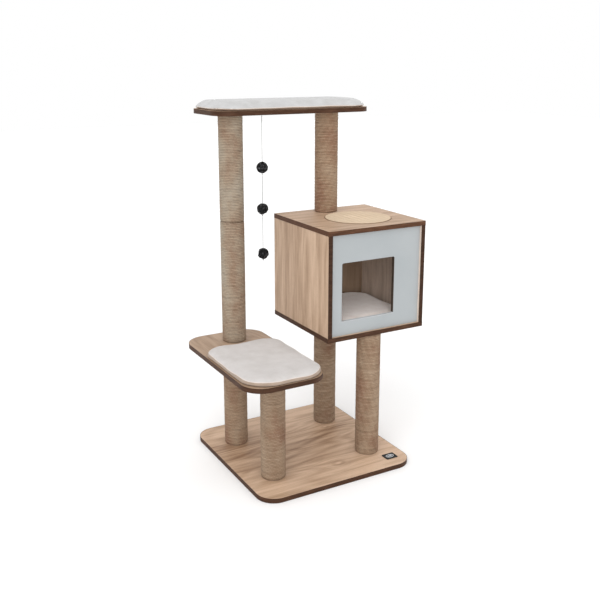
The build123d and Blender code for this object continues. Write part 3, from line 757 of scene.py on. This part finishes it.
def scratch_disc():
    """A disc of woven cord laid in chevrons, with a bound rim; its tones carry painted shade in the grooves
    and a painted shadow round its edge.
    """
    low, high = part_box("scratch_pad")
    centre = np.array(((low.x + high.x) / 2, (low.y + high.y) / 2))
    radius = (high.x - low.x) / 2 - PAD_GAP
    rings = int(radius / PAD_STEP)
    distance = np.linspace(radius / rings, radius, rings)
    turn = np.arange(PAD_SPOKES) * (2 * math.pi / PAD_SPOKES)
    reach, angle = np.meshgrid(distance, turn, indexing="ij")
    x, y = reach * np.cos(angle), reach * np.sin(angle)
    stripe = np.abs((x / PAD_STRIPE) % 2 - 1)
    rib = np.cos((y / PAD_RIB + stripe * PAD_STRIPE / PAD_RIB) * 2 * math.pi)
    gap = np.clip(np.minimum(stripe, 1 - stripe) * PAD_STRIPE / PAD_GROOVE, 0, 1)
    weave = (0.5 + 0.5 * rib) * (0.35 + 0.65 * gap)
    rim = reach > radius - PAD_RIM
    bound = (radius - reach) / PAD_RIM
    weave = np.where(rim, 0.5 + 0.25 * np.cos(angle * radius / PAD_RIM_RADIAN), weave)
    top = high.z - PAD_RELIEF + PAD_RELIEF * weave
    top = np.where(rim, top - PAD_RIM_DROP * (2 * bound - 1) ** 2, top)
    vertices = [(centre[0], centre[1], high.z - PAD_RELIEF)]
    vertices += np.stack([centre[0] + x, centre[1] + y, top], 2).reshape(-1, 3).tolist()
    base_start = len(vertices)
    vertices += [(centre[0] + radius * math.cos(a), centre[1] + radius * math.sin(a), low.z) for a in turn]
    vertices.append((centre[0], centre[1], low.z))
    faces = []
    for k in range(PAD_SPOKES):
        j = (k + 1) % PAD_SPOKES
        faces.append((0, 1 + k, 1 + j))
        for ring in range(rings - 1):
            a, b = 1 + ring * PAD_SPOKES, 1 + (ring + 1) * PAD_SPOKES
            faces.append((a + k, b + k, b + j, a + j))
        last = 1 + (rings - 1) * PAD_SPOKES
        faces.append((last + k, base_start + k, base_start + j, last + j))
        faces.append((base_start + j, base_start + k, len(vertices) - 1))
    disc = mesh_object("scratch_disc", vertices, faces)
    shade = disc.data.attributes.new("winding", "FLOAT", "POINT")
    tones = np.full(len(vertices), 0.3)
    # Tones: the weave's height, darker in the grooves as painted shade, and -1 in a thin ring at the edge for
    # a painted shadow.
    tones[1:base_start] = np.where(reach > radius - PAD_SHADOW_EDGE, -1.0, weave).reshape(-1)
    shade.data.foreach_set("value", tones.astype(np.float32))
    fit_out(disc, "stand", [WOVEN_PAD], ["scratch_pad"])


scratch_disc()

# ---------------------------------------------------------------- cushions

VOXEL = 5 * MM
SIM_FRAMES = 20
SIM_PRESSURE = 4
OUTLINE_STEP = 8 * MM
PIPING_RADIUS = 1.4 * MM
SEAM_TURNS = (4, 7, 11)
SEAM_DIVISOR = 1.7
SEAM_REACH = 40 * MM
PUCKER_DEPTH = 0.45
PUCKER_REACH = 16 * MM
PATCH_SPACING = 60 * MM
RAY_START = 60 * MM
DOME_SHARES = (0.05, 0.13, 0.25, 0.42, 0.65, 1.0)

# Lengths are in millimetres, heights above the board. reach is how far the unfilled cover's outline is drawn
# past the CAD cushion (remeshing and filling bring it in again by 4 to 7 mm), undercut how far its underside
# draws in, dome how far in from the seam the crown is reached, fullness how steeply it rises, cap how far the
# filling may push the cloth, and wave how much the seam undulates.
# pale, shade and sheen are painted light: each cushion's plush tone is a lighter or darker copy of one fabric
# for the light that falls on it, and the house pad's paler tone and high sheen stand in for light inside the
# house.
CUSHIONS = {
    "top_pad": {
        "body": "top_cushion_set", "node": "top_cushion", "patches": "top_cushion_loop_patches",
        "corners": (66, 66, 60, 60), "reach": 0.5, "undercut": 7, "seam": 6.5, "crown": 25, "dome": 66,
        "fullness": 2.8, "cap": 5, "wave": 0.7, "pale": (185, 185, 185), "shade": (171, 170, 169),
        "sheen": 0.35,
    },
    "middle_pad": {
        "body": "middle_cushion_set", "node": "middle_cushion", "patches": "middle_cushion_loop_patches",
        "corners": (92, 80, 62, 62), "reach": 3.0, "undercut": 0.5, "seam": 13.0, "crown": 19, "dome": 80,
        "fullness": 2.2, "cap": 4, "wave": 1.5, "pale": (199, 195, 193), "shade": (185, 180, 177),
        "sheen": 0.35,
    },
    "house_pad": {
        "body": "stand", "node": "house_cushion", "patches": None,
        "corners": (40, 40, 60, 60), "reach": -1.0, "undercut": 3, "seam": 24.0, "crown": 35, "dome": 70,
        "fullness": 2.4, "cap": 5, "wave": 1.5, "pale": (248, 237, 230), "shade": (232, 217, 208),
        "sheen": 0.85,
    },
}


def rounded_outline(low, high, corners, step):
    """Points round a rectangle whose corners, from the front left and anticlockwise, have those radii."""
    centres = [
        (low.x + corners[0], low.y + corners[0], 180),
        (high.x - corners[1], low.y + corners[1], 270),
        (high.x - corners[2], high.y - corners[2], 0),
        (low.x + corners[3], high.y - corners[3], 90),
    ]
    points = []
    for (x, y, start), corner in zip(centres, corners):
        count = max(3, int(corner * math.pi / 2 / step))
        for k in range(count + 1):
            angle = math.radians(start + 90 * k / count)
            points.append(Vector((x + corner * math.cos(angle), y + corner * math.sin(angle), 0)))
    even = []
    for k, point in enumerate(points):
        following = points[(k + 1) % len(points)]
        count = max(1, round((following - point).length / step))
        even += [point.lerp(following, n / count) for n in range(count)]
    return even


def evaluated_mesh(obj):
    graph = bpy.context.evaluated_depsgraph_get()
    return bpy.data.meshes.new_from_object(obj.evaluated_get(graph))


def vectors(mesh, what):
    values = np.empty(len(mesh.vertices) * 3, np.float32)
    mesh.vertices.foreach_get(what, values)
    return values.reshape(-1, 3).astype(float)


def inward(outline):
    """The level direction at each point of the outline that looks into it."""
    directions = []
    for k in range(len(outline)):
        step = (outline[(k + 1) % len(outline)] - outline[k - 1]).normalized()
        directions.append(Vector((-step.y, step.x, 0)))
    return directions


def cover(name, outline, base, look):
    """The sewn cover before it is filled: its section lofted round the outline and closed above and below."""
    seam, crown, dome, undercut = (look[key] * MM for key in ("seam", "crown", "dome", "undercut"))
    section = [(undercut, 0.3 * MM), (undercut * 0.35, seam * 0.28), (0, seam * 0.7), (0, seam)]
    for share in DOME_SHARES:
        section.append((dome * share, seam + (crown - seam) * (1 - (1 - share) ** look["fullness"])))
    shape = bmesh.new()
    loops = []
    centre = sum(outline, Vector()) / len(outline)
    directions = inward(outline)
    limit = min((point - centre).length for point in outline) * 0.8
    for inset, height in section:
        loop = []
        for point, direction in zip(outline, directions):
            place = point + direction * min(inset, limit)
            loop.append(shape.verts.new((place.x, place.y, base + height)))
        loops.append(loop)
    for lower, upper in zip(loops, loops[1:]):
        for k in range(len(outline)):
            j = (k + 1) % len(outline)
            shape.faces.new((lower[k], lower[j], upper[j], upper[k]))
    shape.faces.new(loops[0][::-1])
    shape.faces.new(loops[-1])
    mesh = bpy.data.meshes.new(name)
    shape.to_mesh(mesh)
    shape.free()
    obj = bpy.data.objects.new(name, mesh)
    bpy.context.scene.collection.objects.link(obj)
    remesh = obj.modifiers.new("voxels", "REMESH")
    remesh.mode = "VOXEL"
    remesh.voxel_size = VOXEL
    obj.data = evaluated_mesh(obj)
    obj.modifiers.clear()
    return obj


def fill(obj, cap, floor):
    """Blows the cover up as sewn cloth, with each point's travel held to cap and its underside on floor."""
    before = vectors(obj.data, "co")
    cloth = obj.modifiers.new("cloth", "CLOTH")
    cloth.settings.quality = 5
    cloth.settings.mass = 0.25
    cloth.settings.tension_stiffness = 18
    cloth.settings.compression_stiffness = 18
    cloth.settings.shear_stiffness = 8
    cloth.settings.bending_stiffness = 0.6
    cloth.settings.use_pressure = True
    cloth.settings.uniform_pressure_force = SIM_PRESSURE
    cloth.settings.effector_weights.gravity = 0
    cloth.point_cache.frame_start = 1
    cloth.point_cache.frame_end = SIM_FRAMES
    for step in range(1, SIM_FRAMES + 1):
        bpy.context.scene.frame_set(step)
    mesh = evaluated_mesh(obj)
    obj.modifiers.clear()
    obj.data = mesh
    travel = vectors(mesh, "co") - before
    travel -= travel.mean(0) * (1, 1, 0)
    size = np.linalg.norm(travel, axis=1)
    travel *= (cap * np.tanh(size / cap) / np.maximum(size, 1e-9))[:, None]
    after = before + travel
    after[:, 2] = np.maximum(after[:, 2], floor)
    mesh.vertices.foreach_set("co", after.astype(np.float32).ravel())
    mesh.update()
    bpy.context.scene.frame_set(1)


def boxes_of(node, gap):
    """The box of each separate thing in a node, told apart by their distance."""
    groups = []
    for corner in (np.array(v.co) for v in NODES[node].data.vertices):
        for group in groups:
            if np.linalg.norm(group[0] - corner) < gap:
                group.append(corner)
                break
        else:
            groups.append([corner])
    return [(np.min(group, 0), np.max(group, 0)) for group in groups]


def seam_wave(count, depth, name):
    """How far the seam rises and dips at each point of the outline: whole waves, so that its ends meet."""
    source = random_source(name, "seam")
    share = np.arange(count) * (2 * math.pi / count)
    waves = [np.sin(turns * share + source.uniform(0, 2 * math.pi)) for turns in SEAM_TURNS]
    return depth * MM * sum(waves) / SEAM_DIVISOR


def soften(places, normals, outline, seam_z, wave, name):
    """Gives the filled cover its small lumps, a seam that undulates, and puckers that run in from it."""
    edge = np.array([(point.x, point.y) for point in outline])
    gaps = np.linalg.norm(places[:, None, :2] - edge[None], axis=2)
    nearest, from_edge = gaps.argmin(1), gaps.min(1)
    along = nearest * OUTLINE_STEP
    pucker = np.exp(-from_edge / PUCKER_REACH) * ripple(along, (0.045, 0.071, 0.12), name, "pucker")
    lumps = np.array([0.5 * noise.noise(Vector(p) * 26) + 0.2 * noise.noise(Vector(p) * 120) for p in places])
    floor = places[:, 2].min()
    upper = places[:, 2] > seam_z
    rise = (lumps + PUCKER_DEPTH * pucker) * MM * np.where(upper, 1.0, 0.35)
    places = places + normals * rise[:, None]
    height = np.clip((places[:, 2] - floor) / (seam_z - floor), 0, 1)
    places[:, 2] += wave[nearest] * height * np.exp(-from_edge / SEAM_REACH)
    return places


def cushion(name, look):
    """A filled cushion: plush top, cotton wall and underside, and piping in the seam between them."""
    low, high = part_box(look["node"])
    grow = Vector((look["reach"], look["reach"], 0)) * MM
    corners = [corner * MM for corner in look["corners"]]
    outline = rounded_outline(low - grow, high + grow, corners, OUTLINE_STEP)
    seam_z = low.z + look["seam"] * MM
    pad = cover(name, outline, low.z, look)
    fill(pad, look["cap"] * MM, low.z + 0.2 * MM)
    pad.modifiers.new("rounder", "SUBSURF").levels = 1
    pad.data = evaluated_mesh(pad)
    pad.modifiers.clear()
    wave = seam_wave(len(outline), look["wave"], name)
    top_face = [face.center.z > seam_z for face in pad.data.polygons]
    places = soften(vectors(pad.data, "co"), vectors(pad.data, "normal"), outline, seam_z, wave, name)
    places[:, 2] = np.clip(places[:, 2], low.z + 0.2 * MM, low.z + (look["crown"] + 3) * MM)
    if look["patches"]:
        for box_low, box_high in boxes_of(look["patches"], PATCH_SPACING):
            over = np.all((places[:, :2] > box_low[:2]) & (places[:, :2] < box_high[:2]), axis=1)
            under = over & (places[:, 2] < low.z + 4 * MM)
            places[under, 2] = np.maximum(places[under, 2], box_low[2] + 0.5 * MM)
    pad.data.vertices.foreach_set("co", places.astype(np.float32).ravel())
    pad.data.update()
    pad.data.shade_smooth()
    plush_top = plush("plush_" + name, colour(*look["pale"]), colour(*look["shade"]), look["sheen"])
    fit_out(pad, look["body"], [plush_top, COTTON], [look["node"]])
    for face, on_top in zip(pad.data.polygons, top_face):
        face.material_index = 0 if on_top else 1
    add_piping(name + "_piping", pad, outline, seam_z + wave, look["body"])


def smooth_loop(places, between=4):
    """A closed Catmull-Rom line through the places, with that many points to each of theirs."""
    back, ahead, further = (np.roll(places, -shift, 0) for shift in (-1, 1, 2))
    line = []
    for share in np.arange(between) / between:
        line.append(0.5 * (
            2 * places + (ahead - back) * share
            + (2 * back - 5 * places + 4 * ahead - further) * share**2
            + (3 * places - back - 3 * ahead + further) * share**3
        ))
    return np.stack(line, 1).reshape(-1, 3)


def add_piping(name, pad, outline, heights, body):
    """A round cord in a cloth sleeve, laid in the seam where the pad's wall meets its top."""
    polygons = [list(polygon.vertices) for polygon in pad.data.polygons]
    tree = BVHTree.FromPolygons([vertex.co for vertex in pad.data.vertices], polygons)
    points = []
    for point, direction, z in zip(outline, inward(outline), heights):
        start = Vector((point.x, point.y, z)) - direction * RAY_START
        hit = tree.ray_cast(start, direction)[0]
        points.append(hit + direction * PIPING_RADIUS * 0.4 if hit else Vector((point.x, point.y, z)))
    places = np.array(points)
    for _ in range(3):
        places = (np.roll(places, 1, 0) + 2 * places + np.roll(places, -1, 0)) / 4
    vertices, faces = tube(smooth_loop(places), PIPING_RADIUS, 10, closed=True)
    fit_out(mesh_object(name, vertices, faces), body, [PIPING])


for name, look in CUSHIONS.items():
    cushion(name, look)

# ---------------------------------------------------------------- stickers over the cam locks

CAM_SPACING = 40 * MM
STICKER_OVERLAP = 1.5 * MM
STICKER_HEIGHT = 0.35 * MM
STICKER_SIDES = 40


def cam_stickers():
    """Thin oak-print discs over the cam locks, on the inner faces of the house's side walls."""
    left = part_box("house_left_wall")[1].x
    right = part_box("house_right_wall")[0].x
    parts = []
    turn = np.arange(STICKER_SIDES) * (2 * math.pi / STICKER_SIDES)
    for low, high in boxes_of("cam_locks", CAM_SPACING):
        middle = (low + high) / 2
        face, out = (left, 1) if middle[0] < (left + right) / 2 else (right, -1)
        radius = (high[1] - low[1]) / 2 + STICKER_OVERLAP
        rings = [(radius, 0.0), (radius - 0.1 * MM, 0.6), (radius - 0.5 * MM, 1.0), (radius * 0.5, 1.1)]
        vertices = []
        for reach, rise in rings:
            x = face + out * STICKER_HEIGHT * rise
            vertices += [(x, middle[1] + reach * math.cos(a), middle[2] + reach * math.sin(a)) for a in turn]
        faces = []
        for ring in range(len(rings) - 1):
            for k in range(STICKER_SIDES):
                j = (k + 1) % STICKER_SIDES
                a, b = ring * STICKER_SIDES, (ring + 1) * STICKER_SIDES
                faces.append((a + k, a + j, b + j, b + k)[::out])
        faces.append(tuple(range(len(vertices) - STICKER_SIDES, len(vertices)))[::out])
        faces.append(tuple(range(STICKER_SIDES))[::-out])
        parts.append((vertices, faces))
    vertices, faces = joined(parts)
    stickers = mesh_object("cam_stickers", vertices, faces)
    fit_out(stickers, "stand", [LEFT_WALL_OAK, RIGHT_WALL_OAK])
    for polygon in stickers.data.polygons:
        polygon.material_index = 0 if polygon.center.x < (left + right) / 2 else 1


cam_stickers()

# ---------------------------------------------------------------- plate mark


def plate_mark():
    """A plain silver oval ring in the plate's field, with a bar across it: no lettering."""
    low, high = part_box("name_plate")
    middle = (low + high) / 2
    t = np.linspace(0, 2 * math.pi, 72, endpoint=False)
    level = high.z - 0.2 * MM
    ring = np.stack([middle.x + 14 * MM * np.cos(t), middle.y + 8 * MM * np.sin(t), np.full(72, level)], 1)
    bar_t = np.linspace(-1, 1, 24)
    bar = np.stack([middle.x + 8 * MM * bar_t, np.full(24, middle.y), np.full(24, level)], 1)
    vertices, faces = joined([tube(ring, 0.9 * MM, 8, closed=True), tube(bar, 1.3 * MM, 10)])
    fit_out(mesh_object("plate_mark", vertices, faces), "stand", [SILVER])


plate_mark()

# ---------------------------------------------------------------- floor


FLOOR_SIZE = 28
FLOOR_GAP = 0.5 * MM


def add_floor():
    half = FLOOR_SIZE / 2
    corners = [(-half, -half, 0), (half, -half, 0), (half, half, 0), (-half, half, 0)]
    floor = mesh_object("floor", corners, [(0, 1, 2, 3)])
    floor.location.z = -FLOOR_GAP
    f = Finish("floor_paint")
    cloud = f.noise(f.place, 0.8, 2)
    base = f.ramp(cloud, (0.3, colour(246, 246, 246)), (0.7, colour(250, 250, 250)))
    floor.data.materials.append(f.finish(base, 0.9))


add_floor()
